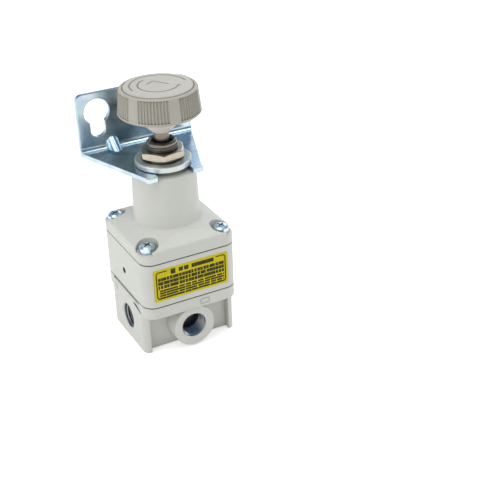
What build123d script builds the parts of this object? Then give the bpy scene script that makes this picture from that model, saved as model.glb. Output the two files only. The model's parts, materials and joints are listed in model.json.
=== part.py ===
from build123d import *
from math import atan2, cos, degrees, pi, sin, sqrt
import os

# Precision pressure regulator with a mounting bracket, in millimetres, +Z up.
# The origin is on the adjusting axis, in the plane of the flat bottom.
# The inlet port faces -X, the outlet port faces +X and the gauge port faces -Y.

# Castings: plan and heights
body_width = 35.0
body_depth = 36.5
body_corner_radius = 4.5
lower_height = 19.6
lower_flange_height = 4.2
middle_height = 16.3
sheet_thickness = 0.4
sheet_edge_inset = 0.3
edge_round = 0.35
root_overlap = 1.0
bore_overrun = 1.0
pick_tolerance = 0.01

# Lower body
pad_setback = 4.05
pad_thickness = 2.4
pad_corner_radius = 2.2
core_setback = 6.45
port_height = 8.3
port_radius = 4.4
port_length = 7.4
port_chamfer = 0.5
gauge_boss_radius = 7.6
gauge_boss_setback = 0.35
passage_radius = 1.5
inlet_passage_rise = 1.0
outlet_passage_rise = 0.4
supply_bore_radius = 0.8
supply_bore_inset = 1.9
supply_bore_y = 3.5
vent_slot_length = 22.4
vent_slot_height = 1.1
vent_slot_depth = 0.8
cast_mark_width = 3.6
cast_mark_height = 2.2
cast_mark_line = 0.45
cast_mark_depth = 0.15
cast_mark_x = 4.3

# Valve at the bottom
plug_radius = 5.95
plug_height = 3.2
plug_cup_radius = 3.2
plug_floor = 1.6
plug_clearance = 0.05
spanner_hole_radius = 0.7
spanner_hole_depth = 1.2
spanner_hole_spread = 4.1
oring_section_radius = 0.48
oring_clearance = 0.02
guide_pin_radius = 1.2
guide_boss_wall = 0.65
guide_boss_rise = 1.2
guide_clearance = 0.05
guide_bore_relief = 0.3
ring_groove_rise = 0.3
valve_chamber_radius = 5.0
valve_chamber_wall = 1.0
valve_chamber_top = 7.6
seat_web = 1.4
seat_web_overlap = 0.2
seat_ring_radius = 3.25
seat_ring_height = 0.75
seat_ring_bore = 1.7
seat_gap = 0.02
valve_disc_radius = 2.9
valve_disc_thickness = 1.0
valve_plate_thickness = 1.0
valve_stem_radius = 0.9
valve_tip_height = 0.7
valve_tip_radius = 0.3
valve_stroke = 0.6
valve_spring_radius = 2.35
valve_spring_wire = 0.4
valve_spring_turns = 3.5
outlet_chamber_radius = 4.8

# Diaphragms and relay between the two lower castings
cavity_radius = 11.5
lower_cavity_depth = 2.8
shelf_thickness = 1.2
shelf_bore_radius = 10.3
upper_bore_radius = 13.0
nozzle_seat_depth = 7.1
vent_hole_radius = 1.15
vent_hole_drop = 9.3
relay_column_radius = 4.0
relay_flange_radius = 6.6
relay_flange_thickness = 1.0
relay_vent_radius = 0.9
relay_bore_radius = 1.4
relay_stud_radius = 1.5
relay_plate_radius = 6.6
relay_plate_thickness = 0.8
relay_nut_flats = 5.5
relay_nut_height = 1.4
exhaust_flange_radius = 4.2
exhaust_flange_thickness = 1.0
exhaust_nose_radius = 2.0
exhaust_nose_height = 1.4
exhaust_stud_radius = 2.15
exhaust_stud_length = 2.6
exhaust_hole_radius = 0.7
stud_clearance = 0.03
lower_roll_inner = 7.2
lower_roll_outer = 11.2
upper_roll_inner = 7.1
upper_roll_outer = 10.1
set_roll_inner = 7.5
set_roll_outer = 10.5

# Nozzle, flapper and setting diaphragm
nozzle_body_clearance = 0.05
nozzle_body_rim = 2.2
nozzle_web_thickness = 1.6
nozzle_web_drop = 2.3
nozzle_radius = 1.5
nozzle_flange_radius = 2.4
nozzle_flange_height = 0.5
nozzle_tip_radius = 0.9
nozzle_tip_taper = 0.4
nozzle_bore_radius = 0.35
nozzle_gap = 0.15
flapper_radius = 2.2
flapper_thickness = 0.5
set_plate_radius = 6.8
set_plate_thickness = 0.4
set_stud_radius = 1.4
orifice_radius = 0.7
orifice_length = 3.0
orifice_bore = 0.25
orifice_reach = 5.5
orifice_recess = 0.5

# Bonnet
bonnet_flange_height = 4.5
bonnet_shoulder_rise = 3.2
shoulder_corner_radius = 22.6
bonnet_height = 25.6
bonnet_base_radius = 11.6
bonnet_top_radius = 11.05
bonnet_top_round = 0.8
bonnet_base_round = 1.0
bonnet_edge_round = 0.9
bonnet_bore_radius = 9.3
bonnet_mouth_radius = 10.9
bonnet_mouth_depth = 2.2
bonnet_ceiling_thickness = 6.0
neck_radius = 6.15
neck_height = 1.5

# Cover screws
screw_spread = 13.8
screw_radius = 1.48
screw_hole_radius = 1.7
screw_thread_radius = 1.5
screw_thread_depth = 3.4
screw_tip_gap = 0.3
screw_tip_chamfer = 0.3
screw_head_radius = 2.7
screw_head_height = 1.9
screw_slot_width = 0.75
screw_slot_length = 3.2
screw_slot_depth = 1.0
screw_slot_angle = 30.0
spring_washer_radius = 2.75
spring_washer_height = 0.7
spring_washer_gap = 0.5
pocket_radius = 3.9
pocket_floor_height = 3.3
pocket_overrun = 1.0

# Setting spring and its seats
spring_plate_radius = 7.2
spring_plate_thickness = 1.2
spring_locator_radius = 4.5
spring_locator_height = 1.1
setting_spring_length = 11.1
setting_spring_radius = 5.4
setting_spring_wire = 1.2
setting_spring_turns = 5.0
spring_seat_radius = 7.6
spring_seat_thickness = 1.2
spring_seat_boss_radius = 3.0
spring_seat_boss_height = 1.0
ball_radius = 1.5
ball_gap = 0.02

# Adjusting screw, bushing and knob
screw_thread_outer_radius = 2.75
stem_radius = 2.6
screw_clearance = 0.05
stem_flat_depth = 0.4
bushing_radius = 5.0
bushing_flange_radius = 7.0
bushing_flange_height = 1.3
bushing_height = 72.5
bushing_mouth_radius = 3.7
bushing_mouth_depth = 1.6
bushing_chamfer = 0.5
bushing_mouth_chamfer = 0.5
thread_clearance = 0.02
knob_rise = 9.6
knob_height = 9.3
knob_bottom_radius = 13.93
knob_top_radius = 13.1
knob_rim_round = 0.6
knob_rim_drop = 0.45
knob_wall = 2.0
knob_roof = 3.4
knob_hub_radius = 5.2
knob_hub_tip_radius = 3.2
knob_hub_drop = 6.5
knob_hub_taper = 2.0
knob_rib_count = 6
knob_rib_thickness = 1.0
flute_groups = 6
flutes_per_group = 10
flute_pitch_angle = 4.5
flute_group_angle = -122.0
flute_radius = 0.42
flute_depth = 0.38
flute_margin = 0.9
cap_radius = 11.6
cap_thickness = 1.4
cap_gap = 0.25
cap_crown = 0.15
knob_screw_radius = 1.2
knob_screw_length = 6.0
knob_screw_head_radius = 2.5
knob_screw_head_height = 1.1
knob_web = 1.3

# Panel nut, washer and bracket
nut_flats = 14.0
nut_hex_height = 2.4
nut_collar_radius = 6.3
nut_collar_height = 1.4
nut_chamfer = 0.3
nut_bottom_ease = 0.2
nut_top_ease = 0.3
nut_turn_angle = 9.3
washer_radius = 9.62
washer_thickness = 2.2
washer_rim_width = 2.3
washer_recess = 0.4
washer_round = 0.4
bracket_thickness = 1.6
bracket_half_width = 21.1
bracket_front_half_width = 10.3
bracket_taper_front = -8.6
bracket_prong_tip = -10.4
bracket_tip_round = 0.9
bracket_fork_radius = 6.3
bracket_bend_radius = 1.6
bracket_back = 21.8
bracket_top = 84.5
bracket_corner_radius = 2.2
keyhole_spread = 14.1
keyhole_radius = 4.65
keyhole_height = 77.75
keyhole_slot_radius = 2.7
keyhole_slot_bottom = 68.5
gusset_spread = 9.4
gusset_radius = 2.3
gusset_reach = 5.4
gusset_rise = 3.8
gusset_dimple_radius = 1.2
gusset_root = 0.2

# Front label
label_width = 27.8
label_height = 12.2
label_thickness = 0.1
label_corner_radius = 0.8
label_x = -0.3
label_centre_height = 8.3

# Levels that follow from the sizes above
pad_depth = body_depth - 2 * pad_setback
core_depth = body_depth - 2 * core_setback
gauge_boss_reach = body_depth / 2 - gauge_boss_setback
supply_bore_x = supply_bore_inset - body_width / 2
middle_bottom = lower_height + sheet_thickness
middle_top = middle_bottom + middle_height
bonnet_bottom = middle_top + sheet_thickness
bonnet_top = bonnet_bottom + bonnet_height
bonnet_ceiling = bonnet_top - bonnet_ceiling_thickness
shelf_top = middle_top - nozzle_seat_depth
nozzle_body_bottom = shelf_top + sheet_thickness
nozzle_web_top = middle_top - nozzle_web_drop
nozzle_web_bottom = nozzle_web_top - nozzle_web_thickness
outlet_floor = valve_chamber_top + seat_web
lower_cavity_floor = lower_height - lower_cavity_depth
spring_plate_top = bonnet_bottom + spring_plate_thickness
seat_bottom = spring_plate_top + setting_spring_length
seat_top = seat_bottom + spring_seat_thickness + spring_seat_boss_height
bracket_bottom = bonnet_top
bracket_plate_top = bracket_bottom + bracket_thickness
washer_top = bracket_plate_top + washer_thickness
washer_floor = washer_top - washer_recess
knob_bottom = bushing_height + knob_rise
knob_top = knob_bottom + knob_height
pocket_floor = bonnet_bottom + pocket_floor_height


def disc(radius, low, high, x=0.0, y=0.0):
    """An upright cylinder between two heights."""
    return Pos(x, y, low) * extrude(Circle(radius), high - low)


def tube(outer, inner, low, high):
    """An upright ring between two heights."""
    return Pos(0, 0, low) * extrude(Circle(outer) - Circle(inner), high - low)


def plate(width, depth, corner, low, high):
    """An upright prism with rounded corners between two heights."""
    return Pos(0, 0, low) * extrude(RectangleRounded(width, depth, corner), high - low)


def turned(*points):
    """A solid of revolution about the Z axis from (radius, height) points."""
    outline = Polyline(*[(radius, 0, height) for radius, height in points], close=True)
    return revolve(make_face(outline), Axis.Z)


def lying_x(radius, x_low, x_high, y, z):
    """A cylinder along X."""
    return Pos(x_low, y, z) * Rot(0, 90, 0) * extrude(Circle(radius), x_high - x_low)


def lying_y(radius, y_low, y_high, x, z):
    """A cylinder along Y."""
    return Pos(x, y_low, z) * Rot(-90, 0, 0) * extrude(Circle(radius), y_high - y_low)


def hexagon(flats, low, high):
    """An upright hexagonal prism, with a corner towards the front left."""
    corner_radius = flats / sqrt(3)
    return Pos(0, 0, low) * Rot(0, 0, nut_turn_angle) * extrude(RegularPolygon(corner_radius, 6), high - low)


def screw_places():
    """The four cover screw axes."""
    return [(side * screw_spread, end * screw_spread) for side in (-1, 1) for end in (-1, 1)]


def four_holes(radius, low, high):
    """Four upright cylinders on the cover screw axes."""
    return Part() + [disc(radius, low, high, x, y) for x, y in screw_places()]


def coil(radius, wire, low, high, turns):
    """A round wire spring whose outside just touches two heights."""
    path_length = high - low - wire
    path = Pos(0, 0, low + wire / 2) * Helix(path_length / turns, path_length, radius)
    section = Plane(path @ 0, z_dir=path % 0) * Circle(wire / 2)
    return sweep(section, path=path)


def roll(inner, outer, level):
    """The half-round roll of a diaphragm, one sheet thick, standing on a level."""
    middle = (inner + outer) / 2
    half = (outer - inner) / 2
    arch = Circle(half) - Circle(half - sheet_thickness)
    arch = arch & Pos(0, half) * Rectangle(2 * half, 2 * half)
    return revolve(Plane.XZ.offset(0) * Pos(middle, level) * arch, Axis.Z)


def lower_body():
    """The casting with the ports, the valve chamber and the lower flange."""
    flange_bottom = lower_height - lower_flange_height
    half_width = body_width / 2
    body = plate(body_width, body_depth, body_corner_radius, flange_bottom, lower_height)
    body += Pos(0, 0, flange_bottom / 2) * Box(body_width - 2 * pad_thickness, core_depth, flange_bottom)
    pads = plate(body_width, pad_depth, pad_corner_radius, 0, flange_bottom)
    hollow_width = body_width - 2 * pad_thickness
    pads -= Pos(0, 0, flange_bottom / 2) * Box(hollow_width, pad_depth, flange_bottom)
    body += pads
    body += lying_y(gauge_boss_radius, -gauge_boss_reach, 0, 0, port_height)
    body -= port_bore(-half_width, 1)
    body -= port_bore(half_width, -1)
    port_end = half_width - port_length
    inlet_height = plug_height + passage_radius + inlet_passage_rise
    outlet_height = outlet_floor + passage_radius + outlet_passage_rise
    body -= lying_x(passage_radius, -port_end - bore_overrun, 0, 0, inlet_height)
    body -= lying_x(passage_radius, 0, port_end + bore_overrun, 0, outlet_height)
    body -= gauge_bore()
    body -= lying_y(passage_radius, -core_depth / 2, 0, 0, outlet_height)
    web_radius = valve_chamber_radius + valve_chamber_wall
    body += disc(web_radius, valve_chamber_top - seat_web_overlap, outlet_floor)
    body -= disc(plug_radius + plug_clearance, 0, plug_height)
    body -= disc(valve_chamber_radius, plug_height, valve_chamber_top)
    body -= disc(seat_ring_radius + seat_gap, valve_chamber_top, valve_chamber_top + seat_ring_height)
    body -= disc(seat_ring_bore, valve_chamber_top, outlet_floor)
    body -= disc(outlet_chamber_radius, outlet_floor, lower_cavity_floor)
    body -= disc(cavity_radius, lower_cavity_floor, lower_height)
    body -= four_holes(screw_thread_radius, lower_height - screw_thread_depth, lower_height)
    body -= disc(supply_bore_radius, port_height, lower_height, supply_bore_x, supply_bore_y)
    slot = Box(2 * vent_slot_depth, vent_slot_length, 2 * vent_slot_height)
    body -= Pos(-half_width, 0, lower_height) * slot
    return body - cast_mark()


def port_bore(face, inward):
    """A port along X with a small chamfer at its mouth."""
    low, high = sorted((face, face + inward * port_length))
    bore = lying_x(port_radius, low, high, 0, port_height)
    mouth = Pos(face, 0, port_height) * Rot(0, 90 * inward, 0) * chamfer_cone()
    return bore + mouth


def chamfer_cone():
    """The cutter for the chamfer at a port's mouth, widest at its origin."""
    outer = port_radius + port_chamfer
    return turned((0, 0), (outer, 0), (port_radius, port_chamfer), (0, port_chamfer))


def gauge_bore():
    """The gauge port along Y, as deep as the boss leaves room for."""
    bore = lying_y(port_radius, -gauge_boss_reach, -gauge_boss_reach + port_length, 0, port_height)
    mouth = Pos(0, -gauge_boss_reach, port_height) * Rot(-90, 0, 0) * chamfer_cone()
    return bore + mouth


def cast_mark():
    """A plain rectangle sunk into the front of the lower flange."""
    outline = Rectangle(cast_mark_width, cast_mark_height)
    inner_width = cast_mark_width - 2 * cast_mark_line
    inner_height = cast_mark_height - 2 * cast_mark_line
    outline -= Rectangle(inner_width, inner_height)
    middle = lower_height - lower_flange_height / 2
    place = Pos(cast_mark_x, -body_depth / 2, middle) * Rot(90, 0, 0)
    return place * extrude(outline, cast_mark_depth, both=True)


def middle_body():
    """The casting between the two outer diaphragms."""
    body = plate(body_width, body_depth, body_corner_radius, middle_bottom, middle_top)
    body -= disc(cavity_radius, middle_bottom, shelf_top - shelf_thickness)
    body -= disc(shelf_bore_radius, middle_bottom, shelf_top)
    body -= disc(upper_bore_radius, shelf_top, middle_top)
    body -= four_holes(screw_hole_radius, middle_bottom, middle_top)
    vent_height = middle_top - vent_hole_drop
    vent_end = -cavity_radius + bore_overrun
    body -= lying_x(vent_hole_radius, -body_width / 2, vent_end, 0, vent_height)
    cross_height = nozzle_web_bottom + nozzle_web_thickness / 2
    body -= disc(supply_bore_radius, middle_bottom, cross_height, supply_bore_x, supply_bore_y)
    body -= lying_x(orifice_radius, supply_bore_x, 0, supply_bore_y, cross_height)
    return body


def sheet_blank(level):
    """The square edge of a diaphragm that is clamped between two castings."""
    width = body_width - 2 * sheet_edge_inset
    depth = body_depth - 2 * sheet_edge_inset
    corner = body_corner_radius - sheet_edge_inset
    blank = plate(width, depth, corner, level, level + sheet_thickness)
    return blank - four_holes(screw_hole_radius, level, level + sheet_thickness)


def rolled(blank, inner, outer, level, hole):
    """A sheet with its roll, and a hole for the stud at its middle."""
    blank -= tube(outer - sheet_thickness / 2, inner + sheet_thickness / 2, level, level + sheet_thickness)
    blank += roll(inner, outer, level)
    return blank - disc(hole, level, level + sheet_thickness)


def lower_diaphragm():
    """The diaphragm between the lower and middle castings."""
    sheet = sheet_blank(lower_height)
    sheet -= disc(supply_bore_radius, lower_height, middle_bottom, supply_bore_x, supply_bore_y)
    hole = exhaust_stud_radius + stud_clearance
    return rolled(sheet, lower_roll_inner, lower_roll_outer, lower_height, hole)


def upper_diaphragm():
    """The diaphragm on the shelf inside the middle casting."""
    sheet = disc(upper_bore_radius - nozzle_body_clearance, shelf_top, nozzle_body_bottom)
    hole = relay_stud_radius + stud_clearance
    return rolled(sheet, upper_roll_inner, upper_roll_outer, shelf_top, hole)


def set_diaphragm():
    """The diaphragm under the setting spring."""
    hole = set_stud_radius + stud_clearance
    return rolled(sheet_blank(middle_top), set_roll_inner, set_roll_outer, middle_top, hole)


def relay_spacer():
    """The column that joins the two lower diaphragms and vents through its side."""
    column = disc(relay_column_radius, middle_bottom, shelf_top)
    column += disc(relay_flange_radius, middle_bottom, middle_bottom + relay_flange_thickness)
    column += disc(relay_flange_radius, shelf_top - relay_flange_thickness, shelf_top)
    column += disc(relay_stud_radius, shelf_top, relay_nut_top())
    bore_top = (middle_bottom + shelf_top) / 2 + 2 * relay_vent_radius
    column -= disc(exhaust_stud_radius + stud_clearance, middle_bottom, middle_bottom + exhaust_stud_length)
    column -= disc(relay_bore_radius, middle_bottom, bore_top)
    vent_height = bore_top - 1.5 * relay_vent_radius
    column -= lying_x(relay_vent_radius, -relay_column_radius, relay_column_radius, 0, vent_height)
    column -= lying_y(relay_vent_radius, -relay_column_radius, relay_column_radius, 0, vent_height)
    return column


def relay_nut_top():
    """The top of the nut that clamps the upper diaphragm."""
    return nozzle_body_bottom + relay_plate_thickness + relay_nut_height


def relay_plate():
    """The round plate on top of the upper diaphragm."""
    hole = relay_stud_radius + stud_clearance
    return tube(relay_plate_radius, hole, nozzle_body_bottom, nozzle_body_bottom + relay_plate_thickness)


def relay_nut():
    """The small hexagon nut on the relay's stud."""
    low = nozzle_body_bottom + relay_plate_thickness
    nut = hexagon(relay_nut_flats, low, relay_nut_top())
    return nut - disc(relay_stud_radius + stud_clearance, low, relay_nut_top())


def exhaust_seat():
    """The drilled seat screwed into the relay from below."""
    flange_bottom = lower_height - exhaust_flange_thickness
    nose_bottom = flange_bottom - exhaust_nose_height
    stud_top = middle_bottom + exhaust_stud_length - stud_clearance
    seat = disc(exhaust_flange_radius, flange_bottom, lower_height)
    seat += disc(exhaust_nose_radius, nose_bottom, flange_bottom)
    seat += disc(exhaust_stud_radius, lower_height, stud_top)
    return seat - disc(exhaust_hole_radius, nose_bottom, stud_top)


def supply_valve():
    """The stem with its plate, guide pin and conical exhaust tip."""
    disc_bottom = valve_chamber_top - valve_disc_thickness
    plate_bottom = disc_bottom - valve_plate_thickness
    nose_bottom = lower_height - exhaust_flange_thickness - exhaust_nose_height
    tip_slope = (valve_stem_radius - valve_tip_radius) / valve_tip_height
    shoulder = nose_bottom - (valve_stem_radius - exhaust_hole_radius + stud_clearance) / tip_slope
    pin_bottom = plug_floor + guide_clearance - valve_stroke / 2
    return turned(
        (0, pin_bottom),
        (guide_pin_radius, pin_bottom),
        (guide_pin_radius, plate_bottom),
        (valve_disc_radius, plate_bottom),
        (valve_disc_radius, disc_bottom),
        (valve_stem_radius, disc_bottom),
        (valve_stem_radius, shoulder),
        (valve_tip_radius, shoulder + valve_tip_height),
        (0, shoulder + valve_tip_height),
    )


def valve_rubber():
    """The rubber disc that closes the supply seat."""
    low = valve_chamber_top - valve_disc_thickness
    return tube(valve_disc_radius, valve_stem_radius, low, valve_chamber_top)


def valve_seat():
    """The brass ring that the rubber disc closes against."""
    low = valve_chamber_top + seat_gap
    return tube(seat_ring_radius, seat_ring_bore, low, valve_chamber_top + seat_ring_height)


def valve_spring():
    """The small spring that shuts the supply valve."""
    high = valve_chamber_top - valve_disc_thickness - valve_plate_thickness
    return coil(valve_spring_radius, valve_spring_wire, plug_floor, high, valve_spring_turns)


def valve_guide():
    """The flush bottom plug with the spring cup, the guide and its ring groove."""
    groove_middle = plug_floor + ring_groove_rise
    groove_half = oring_section_radius + oring_clearance
    groove_floor = plug_radius - 2 * oring_section_radius - oring_clearance
    plug = disc(plug_radius, 0, plug_height)
    plug -= disc(plug_cup_radius, plug_floor, plug_height)
    boss_radius = guide_pin_radius + guide_clearance + guide_boss_wall
    plug += disc(boss_radius, plug_floor, plug_floor + guide_boss_rise)
    bore_bottom = plug_floor - valve_stroke - guide_clearance - guide_bore_relief
    plug -= disc(guide_pin_radius + guide_clearance, bore_bottom, plug_height)
    plug -= tube(plug_radius, groove_floor, groove_middle - groove_half, groove_middle + groove_half)
    for side in (-1, 1):
        plug -= disc(spanner_hole_radius, 0, spanner_hole_depth, side * spanner_hole_spread)
    return plug


def guide_oring():
    """The sealing ring round the bottom plug."""
    centre_radius = plug_radius - oring_section_radius
    return Pos(0, 0, plug_floor + ring_groove_rise) * Torus(centre_radius, oring_section_radius)


def nozzle_body():
    """The disc in the middle casting that carries the nozzle and the fixed orifice."""
    radius = upper_bore_radius - nozzle_body_clearance
    inner = radius - nozzle_body_rim
    cross_height = nozzle_web_bottom + nozzle_web_thickness / 2
    body = disc(radius, nozzle_body_bottom, middle_top)
    body -= disc(inner, nozzle_body_bottom, nozzle_web_bottom)
    body -= disc(inner, nozzle_web_top, middle_top)
    body -= disc(nozzle_radius + stud_clearance, nozzle_web_bottom, nozzle_web_top)
    body -= lying_x(orifice_radius, -radius, -orifice_reach, supply_bore_y, cross_height)
    drop_x = -orifice_reach - orifice_radius
    return body - disc(orifice_radius, nozzle_web_bottom, cross_height, drop_x, supply_bore_y)


def nozzle():
    """The brass nozzle under the flapper."""
    flange_top = nozzle_web_top + nozzle_flange_height
    return turned(
        (nozzle_bore_radius, nozzle_web_bottom),
        (nozzle_radius, nozzle_web_bottom),
        (nozzle_radius, nozzle_web_top),
        (nozzle_flange_radius, nozzle_web_top),
        (nozzle_flange_radius, flange_top),
        (nozzle_tip_radius + nozzle_tip_taper, flange_top),
        (nozzle_tip_radius, nozzle_top()),
        (nozzle_bore_radius, nozzle_top()),
    )


def nozzle_top():
    """The height of the nozzle's mouth."""
    return middle_top - set_plate_thickness - flapper_thickness - nozzle_gap


def fixed_orifice():
    """The drilled brass insert that feeds the nozzle chamber."""
    outer_end = -(upper_bore_radius - nozzle_body_clearance) + orifice_recess
    cross_height = nozzle_web_bottom + nozzle_web_thickness / 2
    far_end = outer_end + orifice_length
    insert = lying_x(orifice_radius - stud_clearance, outer_end, far_end, supply_bore_y, cross_height)
    return insert - lying_x(orifice_bore, outer_end, far_end, supply_bore_y, cross_height)


def flapper():
    """The small plate over the nozzle."""
    top = middle_top - set_plate_thickness
    return disc(flapper_radius, top - flapper_thickness, top)


def set_plate():
    """The clamp plate under the setting diaphragm."""
    hole = set_stud_radius + stud_clearance
    return tube(set_plate_radius, hole, middle_top - set_plate_thickness, middle_top)


def spring_plate():
    """The plate that carries the setting spring, with its stud through the diaphragm."""
    seat = disc(spring_plate_radius, bonnet_bottom, spring_plate_top)
    seat += disc(spring_locator_radius, spring_plate_top, spring_plate_top + spring_locator_height)
    return seat + disc(set_stud_radius, middle_top - set_plate_thickness, bonnet_bottom)


def setting_spring():
    """The main spring between its two plates."""
    return coil(
        setting_spring_radius,
        setting_spring_wire,
        spring_plate_top,
        seat_bottom,
        setting_spring_turns,
    )


def spring_seat():
    """The upper seat, with a boss into the spring and a cone for the ball."""
    rim_top = seat_bottom + spring_seat_thickness
    seat = disc(spring_seat_radius, seat_bottom, rim_top)
    seat += disc(spring_locator_radius, seat_bottom - spring_locator_height, seat_bottom)
    seat += disc(spring_seat_boss_radius, rim_top, seat_top)
    return seat - Pos(0, 0, ball_height()) * Sphere(ball_radius + ball_gap)


def ball_height():
    """The height of the ball's centre, half sunk in the seat."""
    return seat_top + ball_radius / 3


def screw_bottom():
    """The lower end of the adjusting screw, on top of the ball."""
    return ball_height() + ball_radius / 3


def seat_ball():
    """The steel ball between the screw and the seat."""
    return Pos(0, 0, ball_height()) * Sphere(ball_radius)


def stem_top():
    """The upper end of the adjusting screw, inside the knob."""
    return knob_roof_bottom() + knob_roof - cap_thickness - knob_screw_head_height - knob_web


def knob_roof_bottom():
    """The ceiling of the hollow under the knob."""
    return knob_top - knob_roof


def adjusting_screw():
    """The threaded stem that the knob turns."""
    thread_top = bushing_height - bushing_mouth_depth
    screw = disc(screw_thread_outer_radius, screw_bottom(), thread_top)
    screw += disc(stem_radius, thread_top, stem_top())
    screw -= Pos(0, 0, ball_height()) * Sphere(ball_radius + ball_gap)
    screw -= stem_flat(0)
    return screw - disc(knob_screw_radius + stud_clearance, stem_top() - knob_screw_length, stem_top())


def stem_flat(gap):
    """The block beyond the flat that keys the stem to the knob."""
    flat_x = stem_radius - stem_flat_depth + gap
    low = knob_bottom - knob_hub_drop + knob_hub_taper
    size = 2 * stem_radius
    return Pos(flat_x + size / 2, 0, (low + stem_top()) / 2) * Box(size, size, stem_top() - low)


def panel_bushing():
    """The threaded sleeve pressed into the bonnet, which holds the adjusting thread."""
    flange_bottom = bonnet_ceiling - bushing_flange_height
    inner = screw_thread_outer_radius + screw_clearance
    mouth_bottom = bushing_height - bushing_mouth_depth
    return turned(
        (inner, flange_bottom),
        (bushing_flange_radius, flange_bottom),
        (bushing_flange_radius, bonnet_ceiling),
        (bushing_radius, bonnet_ceiling),
        (bushing_radius, bushing_height - bushing_chamfer),
        (bushing_radius - bushing_chamfer, bushing_height),
        (bushing_mouth_radius + bushing_mouth_chamfer, bushing_height),
        (bushing_mouth_radius, bushing_height - bushing_mouth_chamfer),
        (bushing_mouth_radius, mouth_bottom),
        (inner, mouth_bottom),
    )


def knob():
    """The fluted hand knob, hollow below, with its hub and ribs."""
    rim_top = knob_top - knob_rim_drop
    rim_low = rim_top - knob_rim_round
    shell = turned(
        (0, knob_bottom),
        (knob_bottom_radius - edge_round, knob_bottom),
        (knob_bottom_radius, knob_bottom + edge_round),
        (knob_top_radius, rim_low),
        (knob_top_radius - 0.3 * knob_rim_round, rim_top - 0.3 * knob_rim_round),
        (knob_top_radius - knob_rim_round, rim_top),
        (0, rim_top),
    )
    shell -= flutes()
    shell -= disc(knob_bottom_radius - knob_wall, knob_bottom, knob_roof_bottom())
    shell += hub_and_ribs()
    shell -= disc(cap_radius + cap_gap, knob_top - cap_thickness, knob_top)
    head_floor = knob_top - cap_thickness - knob_screw_head_height
    shell -= disc(knob_screw_head_radius + cap_gap, head_floor, knob_top)
    shell -= disc(knob_screw_radius + stud_clearance, stem_top(), head_floor)
    bore = disc(stem_radius + stud_clearance, knob_bottom - knob_hub_drop, stem_top())
    return shell - (bore - stem_flat(stud_clearance))


def hub_and_ribs():
    """The hub round the stem and the ribs that tie it to the rim."""
    hub_bottom = knob_bottom - knob_hub_drop
    hub = turned(
        (0, hub_bottom),
        (knob_hub_tip_radius, hub_bottom),
        (knob_hub_radius, hub_bottom + knob_hub_taper),
        (knob_hub_radius, knob_roof_bottom()),
        (0, knob_roof_bottom()),
    )
    rib_low = knob_bottom + knob_wall
    rib_height = knob_roof_bottom() - rib_low
    rib_length = knob_bottom_radius - knob_wall
    rib = Pos(rib_length / 2, 0, rib_low + rib_height / 2) * Box(rib_length, knob_rib_thickness, rib_height)
    return hub + [Rot(0, 0, 360 / knob_rib_count * index) * rib for index in range(knob_rib_count)]


def flutes():
    """The grip grooves, in groups with smooth stretches between them."""
    low = knob_bottom + flute_margin
    high = knob_top - flute_margin
    run = knob_height - knob_rim_drop - knob_rim_round - edge_round
    lean = (knob_bottom_radius - knob_top_radius) / run
    height = high - low
    cutter_place = knob_bottom_radius + flute_radius - flute_depth - lean * (low - knob_bottom)
    cutter = Solid.make_cylinder(flute_radius, height)
    cutter = Pos(cutter_place, 0, low) * Rot(0, -180 / pi * lean, 0) * cutter
    middle = (flutes_per_group - 1) / 2
    cutters = []
    for group in range(flute_groups):
        for index in range(flutes_per_group):
            turn = flute_group_angle + 360 / flute_groups * group + flute_pitch_angle * (index - middle)
            cutters.append(Rot(0, 0, turn) * cutter)
    return cutters


def knob_cap():
    """The cap let into the knob's top, which stands a little proud and is slightly crowned."""
    low = knob_top - cap_thickness
    return turned(
        (0, low),
        (cap_radius, low),
        (cap_radius, knob_top - edge_round),
        (cap_radius - edge_round, knob_top),
        (0, knob_top + cap_crown),
    )


def knob_screw():
    """The small screw that holds the knob on the stem."""
    head_floor = knob_top - cap_thickness - knob_screw_head_height
    head_top = head_floor + knob_screw_head_height - stud_clearance
    screw = disc(knob_screw_head_radius, head_floor, head_top)
    screw += disc(knob_screw_radius, stem_top() - knob_screw_length + screw_tip_gap, head_floor)
    slot = Box(2 * knob_screw_head_radius, screw_slot_width, screw_slot_width)
    return screw - Pos(0, 0, head_top) * slot


def panel_nut():
    """The hexagon nut on the bushing, with a round collar below."""
    hex_bottom = washer_floor + nut_collar_height
    hex_top = hex_bottom + nut_hex_height
    corner_radius = nut_flats / sqrt(3)
    nut = hexagon(nut_flats, hex_bottom, hex_top)
    nut &= turned(
        (0, hex_bottom),
        (nut_flats / 2 + nut_bottom_ease, hex_bottom),
        (corner_radius, hex_bottom + nut_chamfer),
        (corner_radius, hex_top - nut_chamfer),
        (nut_flats / 2 - nut_top_ease, hex_top),
        (0, hex_top),
    )
    nut += disc(nut_collar_radius, washer_floor, hex_bottom)
    return nut - disc(bushing_radius + thread_clearance, washer_floor, hex_top)


def clamp_washer():
    """The thick washer with a sunk middle that clamps the bracket."""
    washer = disc(washer_radius, bracket_plate_top, washer_top)
    washer = fillet(washer.edges().filter_by(GeomType.CIRCLE), washer_round)
    washer -= disc(washer_radius - washer_rim_width, washer_floor, washer_top)
    return washer - disc(bushing_radius + thread_clearance, bracket_plate_top, washer_top)


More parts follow.
